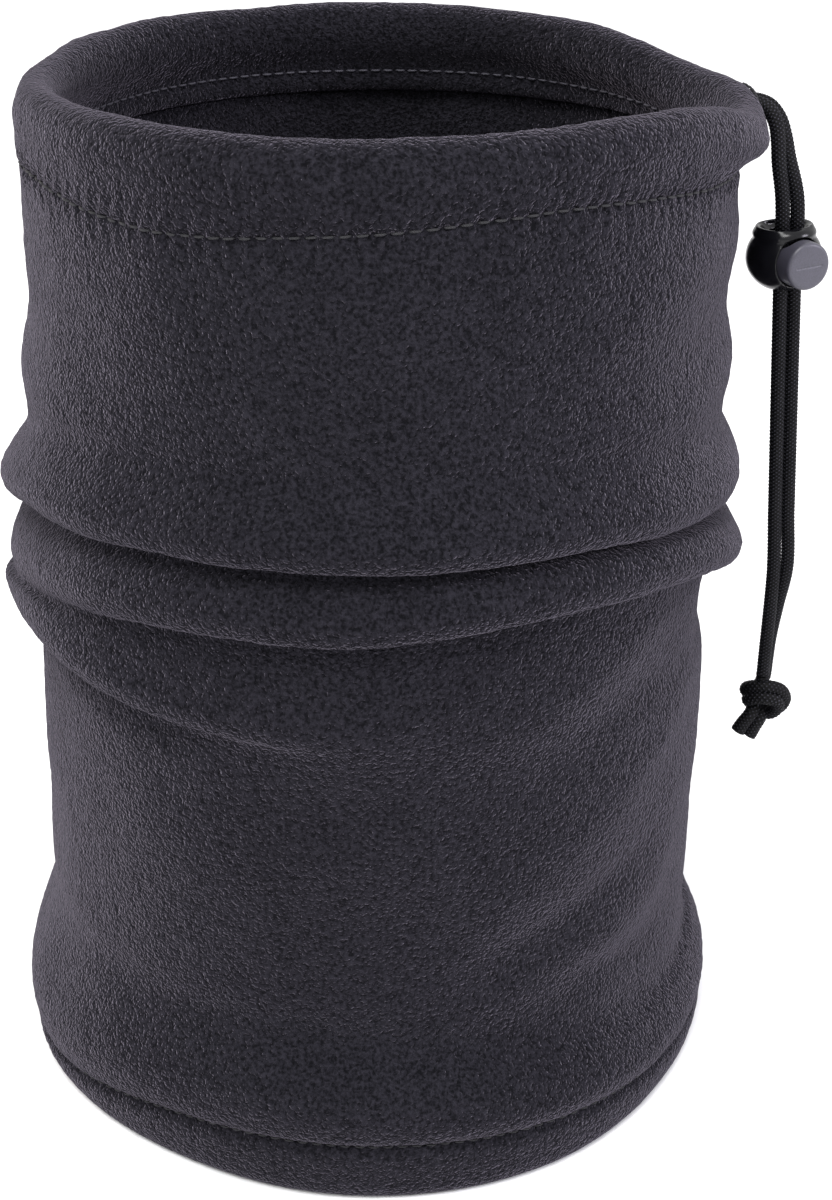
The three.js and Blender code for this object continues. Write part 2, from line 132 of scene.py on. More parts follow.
def around(keys, at=degrees):
    """A smooth closed curve through values set every 30 degrees, starting at the far side, -180."""
    keys = np.asarray(keys, float)
    place = (at + 180) / 30
    cell = np.floor(place).astype(int)
    share = place - cell
    before, here, after, beyond = (keys[(cell + step) % len(keys)] for step in (-1, 0, 1, 2))
    slope_here, slope_after = (after - before) / 2, (beyond - here) / 2
    square, cube = share**2, share**3
    return (
        (2 * cube - 3 * square + 1) * here
        + (cube - 2 * square + share) * slope_here
        + (3 * square - 2 * cube) * after
        + (cube - square) * slope_after
    )


def lattice(cells, seed):
    """A repeatable number from 0 to 1 for each whole-number cell."""
    x, y, z = (cells[..., k].astype(np.int64) for k in range(3))
    mixed = (x * 73856093) ^ (y * 19349663) ^ (z * 83492791) ^ (seed * 2654435761)
    mixed = (mixed ^ (mixed >> 13)) * 1274126177
    return ((mixed ^ (mixed >> 16)) & 0xFFFF) / 0xFFFF


def noise(points, size, seed):
    """Soft lumps from -1 to 1 about size millimetres across."""
    place = points / size
    cell = np.floor(place)
    share = place - cell
    share = share * share * (3 - 2 * share)
    total = 0
    for corner in np.ndindex(2, 2, 2):
        weight = np.prod(np.where(corner, share, 1 - share), axis=-1)
        total = total + weight * lattice(cell + np.array(corner), seed)
    return 2 * total - 1


def unit(vectors):
    return vectors / np.maximum(np.linalg.norm(vectors, axis=-1, keepdims=True), 1e-12)


def hermite(controls, knots, at):
    """Points on a smooth curve through control points at the given places along it."""
    slopes = np.gradient(controls, knots, axis=0)
    cell = np.clip(np.searchsorted(knots, at, side="right") - 1, 0, len(knots) - 2)
    width = (knots[cell + 1] - knots[cell]).reshape([-1] + [1] * (controls.ndim - 1))
    share = ((at - knots[cell]) / (knots[cell + 1] - knots[cell])).reshape(width.shape)
    square, cube = share**2, share**3
    return (
        (2 * cube - 3 * square + 1) * controls[cell]
        + (cube - 2 * square + share) * width * slopes[cell]
        + (3 * square - 2 * cube) * controls[cell + 1]
        + (cube - square) * width * slopes[cell + 1]
    )


def smooth_path(points, step):
    """Evenly spaced points on a smooth line through the given ones."""
    points = np.asarray(points, float)
    knots = np.concatenate([[0], np.cumsum(np.linalg.norm(np.diff(points, axis=0), axis=1))])
    fine = hermite(points, knots, np.linspace(0, knots[-1], 20 * len(points)))
    run = np.concatenate([[0], np.cumsum(np.linalg.norm(np.diff(fine, axis=0), axis=1))])
    count = max(2, round(run[-1] / step) + 1)
    places = np.linspace(0, run[-1], count)
    return np.stack([np.interp(places, run, fine[:, k]) for k in range(3)], axis=1)


def side_directions(points, first_side=(0.0, 1.0, 0.0)):
    """Two directions across a path at each of its points, carried along it without twist."""
    along = unit(np.gradient(points, axis=0))
    side = np.array(first_side, float)
    sides = []
    for direction in along:
        side = unit(side - direction * np.dot(side, direction))
        sides.append(side)
    sides = np.array(sides)
    return sides, np.cross(along, sides)


# ---------- mesh making ----------

def add_object(name, mesh):
    made = bpy.data.objects.new(name, mesh)
    bpy.context.scene.collection.objects.link(made)
    return made


def mesh_object(name, points, faces, crown=None):
    """crown is how high the surface stands at each point, from 0 to 1; the cord's finish paints shade in
    the low places and highlights on the high ones from it.
    """
    mesh = bpy.data.meshes.new(name)
    mesh.from_pydata((np.asarray(points).reshape(-1, 3) * MM).tolist(), [], faces)
    mesh.update()
    mesh.shade_smooth()
    if crown is not None:
        mesh.attributes.new("crown", "FLOAT", "POINT").data.foreach_set("value", np.ravel(crown))
    return add_object(name, mesh)


def ring_faces(rows, columns, closed, start=0):
    """Faces that join rings of points. The rings meet end to end, or the end ones are filled."""
    index = start + np.arange(rows * columns).reshape(rows, columns)
    low = index if closed else index[:-1]
    high = np.roll(index, -1, axis=0) if closed else index[1:]
    corners = [low, np.roll(low, -1, 1), np.roll(high, -1, 1), high]
    faces = np.stack(corners, axis=-1).reshape(-1, 4).tolist()
    if not closed:
        faces += [index[0, ::-1].tolist(), index[-1].tolist()]
    return faces


def ring_object(name, rings, closed=False, crown=None):
    rings = np.asarray(rings, float)
    return mesh_object(name, rings, ring_faces(rings.shape[0], rings.shape[1], closed), crown)


def many_rings_object(name, parts, crown=None):
    """One object from several closed lumps, each a stack of rings."""
    points, faces, start = [], [], 0
    for rings in parts:
        rings = np.asarray(rings, float)
        points.append(rings.reshape(-1, 3))
        faces += ring_faces(rings.shape[0], rings.shape[1], False, start)
        start += rings.shape[0] * rings.shape[1]
    return mesh_object(name, np.concatenate(points), faces, crown)


def tube_rings(path, radius, around_count, first_side=(0.0, 1.0, 0.0)):
    """Rings of points about a path. radius is a number or an array of one row for each ring."""
    sides, ups = side_directions(path, first_side)
    turn = 2 * np.pi * np.arange(around_count) / around_count
    reach = np.broadcast_to(np.asarray(radius, float), (len(path), around_count))[..., None]
    across = sides[:, None] * np.cos(turn)[None, :, None] + ups[:, None] * np.sin(turn)[None, :, None]
    return path[:, None] + reach * across


def keep_shape(obj):
    """Applies an object's modifiers to its mesh."""
    seen = obj.evaluated_get(bpy.context.evaluated_depsgraph_get())
    mesh = bpy.data.meshes.new_from_object(seen)
    obj.modifiers.clear()
    obj.data = mesh
    mesh.shade_smooth()


def cut_away(obj, cutter):
    modifier = obj.modifiers.new("cut", "BOOLEAN")
    modifier.operation = "DIFFERENCE"
    modifier.solver = "EXACT"
    modifier.object = cutter
    keep_shape(obj)
    bpy.data.objects.remove(cutter)


def soften(obj, voxel, rounds):
    """Fuses an object's lumps into one skin and rounds its edges, as a mould does."""
    skin = obj.modifiers.new("skin", "REMESH")
    skin.mode = "VOXEL"
    skin.voxel_size = voxel * MM
    skin.use_smooth_shade = True
    rub = obj.modifiers.new("rub", "SMOOTH")
    rub.factor = 0.5
    rub.iterations = rounds
    keep_shape(obj)


# ---------- materials ----------

def linear(hex_colour):
    """An sRGB hex colour as the linear RGBA that Blender's shaders take."""
    channels = [int(hex_colour[place:place + 2], 16) / 255 for place in (1, 3, 5)]
    return [c / 12.92 if c <= 0.04045 else ((c + 0.055) / 1.055) ** 2.4 for c in channels] + [1.0]


def add_node(tree, kind, inputs, **settings):
    """Adds a node. An input is given a value, or the socket of another node to be linked to."""
    node = tree.nodes.new(kind)
    for name, value in settings.items():
        setattr(node, name, value)
    for name, value in inputs.items():
        if isinstance(value, bpy.types.NodeSocket):
            tree.links.new(value, node.inputs[name])
        else:
            node.inputs[name].default_value = value
    return node


def new_material(name):
    material = bpy.data.materials.new(name)
    material.use_nodes = True
    tree = material.node_tree
    return material, tree, tree.nodes["Principled BSDF"]


def per(size):
    """Texture scale for a pattern that repeats every size millimetres."""
    return 1 / (size * MM)


def colour_steps(node, steps):
    ramp = node.color_ramp
    for element, (place, colour) in zip(ramp.elements, (steps[0], steps[-1])):
        element.position = place
        element.color = linear(colour)
    for place, colour in steps[1:-1]:
        ramp.elements.new(place).color = linear(colour)


# Anti-pill polyester fleece, knitted, brushed and sheared: the eye sees short pebbly tufts just
# under a millimetre across, no shine, and a pale bloom of fibre tips where the cloth turns away.
# The fibres themselves are too fine to show, so they are drawn 0.4 mm across.
def brushed_fleece(name, painted_hollow_shade, tip, bloom):
    material, tree, shader = new_material(name)
    place = add_node(tree, "ShaderNodeTexCoord", {}).outputs["Object"]
    tufts = add_node(
        tree, "ShaderNodeTexNoise",
        {"Vector": place, "Scale": per(0.8), "Detail": 1.0, "Roughness": 0.6, "Distortion": 0.3},
    ).outputs["Fac"]
    fibres = add_node(
        tree, "ShaderNodeTexNoise", {"Vector": place, "Scale": per(0.4), "Detail": 1.0, "Roughness": 0.5},
    ).outputs["Fac"]
    patches = add_node(
        tree, "ShaderNodeTexNoise", {"Vector": place, "Scale": per(26), "Detail": 2.0},
    ).outputs["Fac"]
    # Over the cloth's own charcoal, the colour runs with the tufts' height: painted shade in the hollows
    # between tufts, painted light on their tops.
    ramp = add_node(tree, "ShaderNodeValToRGB", {"Fac": tufts})
    colour_steps(ramp, [(0.32, painted_hollow_shade), (0.68, tip)])
    shade = add_node(
        tree, "ShaderNodeMapRange",
        {"Value": patches, "From Min": 0.3, "From Max": 0.7, "To Min": 0.94, "To Max": 1.06},
    ).outputs["Result"]
    colour = add_node(
        tree, "ShaderNodeVectorMath", {0: ramp.outputs["Color"], "Scale": shade}, operation="SCALE",
    ).outputs["Vector"]
    coarse = add_node(
        tree, "ShaderNodeBump", {"Height": tufts, "Strength": 1.0, "Distance": 0.85 * MM},
    ).outputs["Normal"]
    fine = add_node(
        tree, "ShaderNodeBump",
        {"Height": fibres, "Strength": 0.4, "Distance": 0.3 * MM, "Normal": coarse},
    ).outputs["Normal"]
    tree.links.new(colour, shader.inputs["Base Color"])
    tree.links.new(fine, shader.inputs["Normal"])
    shader.inputs["Roughness"].default_value = 0.95
    shader.inputs["IOR"].default_value = 1.5
    shader.inputs["Specular IOR Level"].default_value = 0.02
    shader.inputs["Sheen Weight"].default_value = bloom
    shader.inputs["Sheen Roughness"].default_value = 0.34
    shader.inputs["Sheen Tint"].default_value = linear("#d8cfe2")
    return material


# Spun polyester sewing thread: two plies twisted together, dull. The needle thread is darker than
# the cloth, the looper thread on the inside is a lighter grey.
def spun_thread(name, shaded, lit):
    material, tree, shader = new_material(name)
    place = add_node(tree, "ShaderNodeTexCoord", {}).outputs["Object"]
    plies = add_node(
        tree, "ShaderNodeTexWave",
        {"Vector": place, "Scale": per(0.9), "Distortion": 2.0, "Detail": 1.0},
        bands_direction="DIAGONAL",
    ).outputs["Fac"]
    ramp = add_node(tree, "ShaderNodeValToRGB", {"Fac": plies})
    colour_steps(ramp, [(0.2, shaded), (0.9, lit)])
    bump = add_node(
        tree, "ShaderNodeBump", {"Height": plies, "Strength": 0.5, "Distance": 0.08 * MM},
    ).outputs["Normal"]
    tree.links.new(ramp.outputs["Color"], shader.inputs["Base Color"])
    tree.links.new(bump, shader.inputs["Normal"])
    shader.inputs["Roughness"].default_value = 0.7
    return material


# Braided polyester cord: filament yarn that is close to black, with a hairline of filaments along it.
# Its colour is painted from the braid's height: painted shade in the grooves between the strands, and
# on the crown of each strand a painted highlight that adds to the faint glint of the cord's own gloss.
def braided_polyester():
    material, tree, shader = new_material("braided_polyester_cord")
    place = add_node(tree, "ShaderNodeTexCoord", {}).outputs["Object"]
    filaments = add_node(
        tree, "ShaderNodeTexNoise", {"Vector": place, "Scale": per(0.3), "Detail": 2.0, "Roughness": 0.7},
    ).outputs["Fac"]
    wear = add_node(
        tree, "ShaderNodeTexNoise", {"Vector": place, "Scale": per(6), "Detail": 2.0},
    ).outputs["Fac"]
    crown = add_node(tree, "ShaderNodeAttribute", {}, attribute_name="crown").outputs["Fac"]
    # Painted shade and highlight: dark where the braid lies low, pale grey on the crowns of the strands.
    strands = add_node(tree, "ShaderNodeValToRGB", {"Fac": crown})
    colour_steps(strands, [(0.5, "#020203"), (0.85, "#0e0e11"), (1.0, "#4a4953")])
    silk = add_node(
        tree, "ShaderNodeMapRange",
        {"Value": filaments, "From Min": 0.3, "From Max": 0.7, "To Min": 0.7, "To Max": 1.3},
    ).outputs["Result"]
    colour = add_node(
        tree, "ShaderNodeVectorMath", {0: strands.outputs["Color"], "Scale": silk}, operation="SCALE",
    ).outputs["Vector"]
    rough = add_node(
        tree, "ShaderNodeMapRange",
        {"Value": wear, "From Min": 0.3, "From Max": 0.7, "To Min": 0.48, "To Max": 0.66},
    ).outputs["Result"]
    bump = add_node(
        tree, "ShaderNodeBump", {"Height": filaments, "Strength": 0.45, "Distance": 0.1 * MM},
    ).outputs["Normal"]
    tree.links.new(colour, shader.inputs["Base Color"])
    tree.links.new(rough, shader.inputs["Roughness"])
    tree.links.new(bump, shader.inputs["Normal"])
    shader.inputs["Specular IOR Level"].default_value = 0.12
    return material


# Moulded acetal, black: a polished mould gives it a clear gloss, with the faint orange-peel and
# handling haze of a small injection moulding.
def gloss_acetal():
    material, tree, shader = new_material("moulded_gloss_acetal")
    place = add_node(tree, "ShaderNodeTexCoord", {}).outputs["Object"]
    haze = add_node(
        tree, "ShaderNodeTexNoise", {"Vector": place, "Scale": per(3.5), "Detail": 4.0, "Roughness": 0.6},
    ).outputs["Fac"]
    peel = add_node(
        tree, "ShaderNodeTexNoise", {"Vector": place, "Scale": per(0.8), "Detail": 1.0},
    ).outputs["Fac"]
    rough = add_node(
        tree, "ShaderNodeMapRange",
        {"Value": haze, "From Min": 0.3, "From Max": 0.7, "To Min": 0.14, "To Max": 0.24},
    ).outputs["Result"]
    ramp = add_node(tree, "ShaderNodeValToRGB", {"Fac": haze})
    colour_steps(ramp, [(0.3, "#0a0a0d"), (0.8, "#121216")])
    bump = add_node(
        tree, "ShaderNodeBump", {"Height": peel, "Strength": 0.12, "Distance": 0.05 * MM},
    ).outputs["Normal"]
    tree.links.new(ramp.outputs["Color"], shader.inputs["Base Color"])
    tree.links.new(rough, shader.inputs["Roughness"])
    tree.links.new(bump, shader.inputs["Normal"])
    shader.inputs["IOR"].default_value = 1.48
    shader.inputs["Specular IOR Level"].default_value = 0.3
    return material


# Moulded nylon, dark grey: a fine spark-eroded grain that scatters the light into a satin grey.
def satin_nylon():
    material, tree, shader = new_material("moulded_satin_nylon")
    place = add_node(tree, "ShaderNodeTexCoord", {}).outputs["Object"]
    grain = add_node(
        tree, "ShaderNodeTexNoise", {"Vector": place, "Scale": per(0.35), "Detail": 2.0, "Roughness": 0.6},
    ).outputs["Fac"]
    ramp = add_node(tree, "ShaderNodeValToRGB", {"Fac": grain})
    colour_steps(ramp, [(0.3, "#3b3a43"), (0.75, "#474551")])
    bump = add_node(
        tree, "ShaderNodeBump", {"Height": grain, "Strength": 0.25, "Distance": 0.06 * MM},
    ).outputs["Normal"]
    tree.links.new(ramp.outputs["Color"], shader.inputs["Base Color"])
    tree.links.new(bump, shader.inputs["Normal"])
    shader.inputs["Roughness"].default_value = 0.42
    shader.inputs["IOR"].default_value = 1.53
    return material


# Drawn spring steel wire: bright, with fine drawing marks that break up the highlight.
def drawn_steel():
    material, tree, shader = new_material("drawn_spring_steel")
    place = add_node(tree, "ShaderNodeTexCoord", {}).outputs["Object"]
    marks = add_node(
        tree, "ShaderNodeTexNoise", {"Vector": place, "Scale": per(0.2), "Detail": 2.0},
    ).outputs["Fac"]
    rough = add_node(
        tree, "ShaderNodeMapRange",
        {"Value": marks, "From Min": 0.3, "From Max": 0.7, "To Min": 0.22, "To Max": 0.38},
    ).outputs["Result"]
    ramp = add_node(tree, "ShaderNodeValToRGB", {"Fac": marks})
    colour_steps(ramp, [(0.3, "#a9abae"), (0.7, "#c4c6c9")])
    tree.links.new(ramp.outputs["Color"], shader.inputs["Base Color"])
    tree.links.new(rough, shader.inputs["Roughness"])
    shader.inputs["Metallic"].default_value = 1.0
    return material


# Seamless paper on the studio floor: matt white with a barely visible unevenness.
def studio_paper():
    material, tree, shader = new_material("studio_paper")
    place = add_node(tree, "ShaderNodeTexCoord", {}).outputs["Object"]
    fibre = add_node(
        tree, "ShaderNodeTexNoise", {"Vector": place, "Scale": per(40), "Detail": 2.0},
    ).outputs["Fac"]
    ramp = add_node(tree, "ShaderNodeValToRGB", {"Fac": fibre})
    colour_steps(ramp, [(0.3, "#f6f6f7"), (0.7, "#f9f9fa")])
    tree.links.new(ramp.outputs["Color"], shader.inputs["Base Color"])
    shader.inputs["Roughness"].default_value = 0.95
    shader.inputs["Specular IOR Level"].default_value = 0.1
    return material


# The fleece's two colours: #101013 carries painted shade for the hollows between tufts, #27262c painted
# light for their tops.
fleece_finish = brushed_fleece("brushed_polyester_fleece", "#101013", "#27262c", 0.3)
needle_finish = spun_thread("spun_polyester_needle_thread", "#0c0c0f", "#1c1b21")
looper_finish = spun_thread("spun_polyester_looper_thread", "#2c2b32", "#4a4852")
cord_finish = braided_polyester()
housing_finish = gloss_acetal()
button_finish = satin_nylon()
spring_finish = drawn_steel()


def hand_over(piece, body, slot, finish, *nodes):
    """Gives a piece its finish, the body it rides on and the solids that it stands for. slot is not used.
    """
    piece.data.materials.clear()
    piece.data.materials.append(finish)
    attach(piece, body)
    if nodes:
        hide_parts(*nodes)
    return piece


# ---------- camera ----------

def add_camera():
    data = bpy.data.cameras.new("camera")
    data.lens = 57.33
    camera = bpy.data.objects.new("camera", data)
    camera.location = (0.011, -0.387, 0.290)
    camera.rotation_euler = (math.radians(63.9), 0, 0)
    bpy.context.scene.collection.objects.link(camera)
    bpy.context.scene.camera = camera


# ---------- cords ----------

FRONT_EXIT = [
    [75.4, 7.6, 209.1], [78.2, 7.6, 209.3], [81.0, 7.5, 209.4], [83.0, 6.7, 208.3],
    [84.3, 5.5, 206.0], [84.9, 4.4, 202.6], [85.2, 3.5, 198.8],
]
REAR_EXIT = [
    [75.2, 11.8, 209.1], [78.0, 11.8, 209.3], [80.8, 11.7, 209.4], [83.6, 10.8, 208.6],
    [85.6, 9.2, 206.4], [86.8, 7.5, 203.0], [87.6, 6.0, 199.2],
]
FRONT_DROP = [[91.4, 2.1, 97.0], [91.2, 1.8, 88.5], [91.1, 1.8, 80.5]]
REAR_DROP = [[93.6, 4.7, 97.0], [92.7, 5.2, 88.5], [92.3, 5.2, 80.5]]
SLIDE_TOP = np.array([87.9, 3.2, 192.0])
SLIDE_BOTTOM = np.array([93.1, 3.2, 106.0])
STRAIGHT_STEPS = 7

slide_axis = unit(SLIDE_TOP - SLIDE_BOTTOM)
button_axis = np.array([0.375, -0.927, 0.0])
button_axis = unit(button_axis - slide_axis * np.dot(button_axis, slide_axis))
pair_axis = np.cross(slide_axis, button_axis)


def tail_route(exit_points, drop_points, side):
    share = np.linspace(0, 1, STRAIGHT_STEPS)[:, None]
    straight = SLIDE_TOP + (SLIDE_BOTTOM - SLIDE_TOP) * share + pair_axis * side * CORD_PITCH / 2
    return np.concatenate([exit_points, straight, drop_points])


BRAID_CARRIERS = 8  # each way round
BRAID_PITCH = 0.85  # along the cord, from one strand to the next
BRAID_RELIEF = 0.3


def braid_height(turn, along):
    """Height from 0 to 1 of a plaited surface: strands of two slants that take turns on top."""
    first = turn * BRAID_CARRIERS + along / BRAID_PITCH
    second = turn * BRAID_CARRIERS - along / BRAID_PITCH
    first_on_top = (np.floor(first) + np.floor(second)) % 2 == 0
    over = np.where(first_on_top, first, second)
    under = np.where(first_on_top, second, first)
    crown = np.sin(np.pi * (over % 1)) ** 0.6
    dive = np.sin(np.pi * (under % 1))
    return crown * (0.6 + 0.4 * dive)


def braided_rings(path, diameter, around_count, squeeze=None, first_side=(0.0, 1.0, 0.0)):
    """Rings of a plaited cord, and how high the surface stands at each of their points."""
    along = np.concatenate([[0], np.cumsum(np.linalg.norm(np.diff(path, axis=0), axis=1))])
    turn = np.arange(around_count) / around_count
    height = braid_height(turn[None, :], along[:, None])
    radius = diameter / 2 + BRAID_RELIEF * (height - 0.75)
    if squeeze is not None:
        radius = radius * squeeze[:, None]
    return tube_rings(path, radius, around_count, first_side), height


def cord_end(name, node, exit_points, drop_points, side):
    path = smooth_path(tail_route(exit_points, drop_points, side), 0.17)
    rings, height = braided_rings(path, CORD, 56)
    piece = ring_object(name, rings, crown=height)
    hand_over(piece, "gaiter", "braided_cord", cord_finish, node)
    return piece, path


# ---------- the cloth's surface ----------

# Heights and swellings round the tube, each set every 30 degrees from the far side: far side,
# then the front from left to right, the cord's side, and the back.
HEM_CREASE = [7, 6.5, 12.5, 14, 12.5, 8.5, 9, 10, 12, 13, 12, 8]
FLARE_TOP = [38, 39, 40, 38, 34, 28, 27, 29, 34, 38, 40, 39]
HEM_OUT = [0.2, 1.5, 0.2, 1.8, 2.5, 0.5, -0.4, -0.2, 0.4, 0.6, 0.8, 0.6]
ROLL_ONE = [136, 143.5, 147.5, 148, 147.6, 142.3, 137.5, 137.5, 140, 142, 141, 138]
ROLL_TWO = [120.5, 127.5, 132.4, 133.6, 135.4, 130.4, 118.5, 119, 123, 124, 123, 121]
ROLL_THREE = [113.5, 115, 112, 111.5, 113, 112, 110, 109, 109, 110, 110, 110]
ROLL_ONE_OUT = [6.8, 6.4, 5.6, 5.4, 5.4, 5.2, 4.9, 5.0, 5.4, 5.6, 5.8, 6.4]
ROLL_TWO_OUT = [5.4, 5.2, 5.4, 5.6, 5.8, 6.4, 7.0, 6.2, 5.4, 5.4, 5.6, 6.2]
ROLL_THREE_OUT = [6.6, 6.2, 4.8, 2.2, 0.3, -1.2, -1.5, -0.6, 0, 0.3, 1.2, 4.0]
ROLL_TWO_LIP = [0.1, 0.25, 0.9, 1, 1, 1, 1, 1, 1, 1, 0.8, 0.3]
STITCH_LINE = [204.5, 205, 202.6, 204.6, 206.8, 203.4, 200.6, 201, 204, 204.5, 204.5, 204]

# Soft slanting folds where the cloth has sunk: from and to, each an angle and a height, then how
# far the fold stands out and how wide it is.
DRAPE_FOLDS = [
    ((-26, 35), (-60, 43), -1.5, 4.0),
    ((-24, 55), (-76, 38), 1.1, 4.5),
    ((-34, 66), (-72, 50), -1.1, 4.0),
    ((-22, 96), (-58, 74), 0.9, 4.5),
    ((-30, 110), (-66, 92), -0.8, 4.5),
    ((-40, 116), (-74, 104), 0.7, 3.5),
    ((150, 80), (110, 60), 1.0, 5.0),
    ((60, 100), (100, 78), -1.0, 5.0),
    ((40, 58), (75, 42), 0.9, 5.0),
    ((-170, 186), (-140, 172), 0.6, 5.0),
    ((-60, 178), (-30, 190), 0.6, 5.0),
    ((70, 180), (120, 168), 0.8, 5.0),
]


def oval_radius(half_width, depth_extra, shift, at=angles):
    mean = half_width + depth_extra / 2
    return mean - (depth_extra / 2) * np.cos(2 * at) + shift * np.cos(at)


def plain_radius(z):
    """Outside radius of the cloth with no rolls, at a height for each direction."""
    flare_top = around(FLARE_TOP)
    rise = smooth(40, TUBE_HEIGHT, z)
    flare = 1 - smooth(flare_top - 17, flare_top, z)
    half_width = BODY_RADIUS + (NECK_RADIUS - BODY_RADIUS) * rise
    half_width = half_width + (HEM_RADIUS - BODY_RADIUS) * flare
    shift = NECK_SHIFT * smooth(0, TUBE_HEIGHT, z)
    tuck = FAR_SIDE_TUCK * bell(turned(degrees - 180), FAR_SIDE_TUCK_SPREAD) * smooth(165, 195, z)
    return oval_radius(half_width, NECK_DEPTH_EXTRA * rise, shift) + around(HEM_OUT) * flare - tuck


def crest_radius(at=angles):
    where = turned(np.degrees(at))
    reach = TIP_REACH * bell(where, TIP_SPREAD)
    tuck = FAR_SIDE_TUCK * bell(turned(where - 180), 2 * TIP_SPREAD)
    return oval_radius(RIM_RADIUS, RIM_DEPTH_EXTRA, NECK_SHIFT, at) + reach - tuck


def crest_height(at=angles):
    where = turned(np.degrees(at))
    spread = np.where(where > 0, 2 * TIP_SPREAD, TIP_SPREAD)
    far_side = FAR_SIDE_DROP * bell(turned(where - 180), FAR_SIDE_DROP_SPREAD)
    nod = TIP_NOD * bell(where + 10, TIP_NOD_SPREAD) + 1.2 * bell(where - 22, TIP_NOD_SPREAD)
    return TUBE_HEIGHT - TIP_DROP * bell(where, spread) - far_side - nod


def level(out, z):
    """One control row: a point for each direction, out from the plain cloth, at height z."""
    z = np.broadcast_to(np.asarray(z, float), angles.shape)
    return np.stack([plain_radius(z) + out, z], axis=1)


ROLL_SHOULDER = 0.66  # how much of a roll's swelling is left just above its crest
ROW_GAP = 0.9  # least height between one control row of the rolls and the next


def roll_levels(crest, out, lip, below, shoulder=ROLL_SHOULDER):
    """Rows of one roll from the crease under it to its top. lip is how far it overhangs, and
    shoulder how much of it is left above the crest."""
    return [
        level(out * (1 - 0.96 * lip), crest - 6.6 + 1.2 * lip - (1 - lip) * below),
        level(out * (1 - 0.26 * lip), crest - 4.4),
        level(out, crest - 0.8),
        level(out * shoulder, crest + 4.6),
    ]


def cloth_profile():
    """Control rows of the cloth's outward face, from the edge inside the hem, down round its foot,
    up the outside, over the rim and down inside to the casing's edge. Also the hem's and the
    casing's stitch lines, as places in the list."""
    crease = around(HEM_CREASE)
    stitch = around(STITCH_LINE)
    one, two, three = around(ROLL_ONE), around(ROLL_TWO), around(ROLL_THREE)
    one_out, two_out = around(ROLL_ONE_OUT), around(ROLL_TWO_OUT)
    three_out = around(ROLL_THREE_OUT)
    two_lip = np.clip(around(ROLL_TWO_LIP), 0, 1)
    three_lip = np.clip(three_out / 5, 0, 1)
    inner = 2 * FLEECE + LAYER_GAP
    # where roll two loses its lip, roll three runs up into it
    merged = ROLL_SHOULDER + 0.3 * (1 - two_lip)
    rolls = roll_levels(three, three_out, three_lip, 1.5, merged)
    rolls += roll_levels(two, two_out, two_lip, 0.5)
    rolls += roll_levels(one, one_out, np.ones(COLUMNS), 0)
    for below, above in zip(rolls[-2::-1], rolls[:0:-1]):
        below[:, 1] = np.minimum(below[:, 1], above[:, 1] - ROW_GAP)

    hem = [
        level(-inner, HEM_TURN_UP),
        level(-inner - 0.1, HEM_TURN_UP / 2),
        level(-inner + 0.3, 2.0),
        level(-inner + 1.3, 0.45),
        level(-inner / 2, 0.05),
        level(-1.1, 0.45),
        level(-0.1, 2.0),
        level(0.35, 0.45 * crease),
        level(0.0, crease - 1.6),
    ]
    panel = [
        level(-1.0, crease),
        level(0.5, crease + 1.6),
        level(1.2, crease + 5.0),
        level(0.9, crease + 9.5),
        level(0.1, np.maximum(crease + 14, around(FLARE_TOP) - 3)),
        level(0.0, 45),
        level(-0.3, 60),
        level(0.3, 77),
        level(0.0, three - 15.5),
        *rolls,
        level(0.4, one + 11),
        level(around([0.9, 0.7, 0.3, 0.1, 0.3, 0.9, 1.3, 1.0, 0.6, 0.5, 0.6, 0.8]), 162.5),
        level(around([-0.6, -0.5, -0.2, 0.0, -0.2, -0.5, -0.8, -0.6, -0.3, -0.3, -0.4, -0.5]), 173),
        level(around([0.2, 0.2, 0.2, 0.1, 0.2, 0.4, 0.7, 0.5, 0.2, 0.2, 0.2, 0.2]), 188),
        level(-0.1, stitch - 4.5),
        level(-0.25, stitch - 1.6),
    ]
    crest, top = crest_radius(), crest_height()
    shoulder = top - CASING_HALF
    slant = CASING_HALF * math.sqrt(0.5)
    foot = plain_radius(stitch)
    halfway = (stitch + shoulder) / 2
    tip = bell(degrees + 4, 15)
    outer_half = (foot + crest + CASING_HALF) / 2 + 0.15 + 2.2 * tip
    inner_half = (foot - inner + crest - CASING_HALF) / 2 - 0.7

    def bare(radius, z):
        return np.stack(np.broadcast_arrays(radius, z), axis=1)

    edge = STITCH_HEIGHT - CASING_TURN_DOWN
    casing = [
        bare(foot - 0.45 - 0.7 * tip, stitch),
        bare(foot + 0.1 + 0.5 * tip, stitch + 1.7),
        bare(outer_half, halfway),
        bare(crest + CASING_HALF, shoulder),
        bare(crest + slant, shoulder + slant),
        bare(crest, top),
        bare(crest - slant, shoulder + slant),
        bare(crest - CASING_HALF, shoulder),
        bare(inner_half, halfway),
        bare(foot - inner - 0.2, stitch + 2.2),
        bare(foot - inner + 0.5, stitch - 0.2),
        bare(foot - inner + 0.3, (stitch + edge) / 2 - 0.6),
        bare(foot - inner + 0.7, np.full(COLUMNS, edge)),
    ]
    return np.stack(hem + panel + casing), len(hem), len(hem) + len(panel)


def drape_folds(height):
    """How far the slanting folds lift the cloth, at a height for each point of the grid."""
    arc = np.radians(degrees)[None, :] * BODY_RADIUS
    lift = 0
    for (from_angle, from_z), (to_angle, to_z), out, width in DRAPE_FOLDS:
        start = np.array([math.radians(from_angle) * BODY_RADIUS, from_z])
        run = np.array([math.radians(to_angle) * BODY_RADIUS, to_z]) - start
        place = ((arc - start[0]) * run[0] + (height - start[1]) * run[1]) / np.dot(run, run)
        place = np.clip(place, 0, 1)
        apart = np.hypot(arc - start[0] - place * run[0], height - start[1] - place * run[1])
        fade = 1 - 0.7 * np.abs(2 * place - 1) ** 2
        lift = lift + out * fade * bell(apart, width)
    return lift


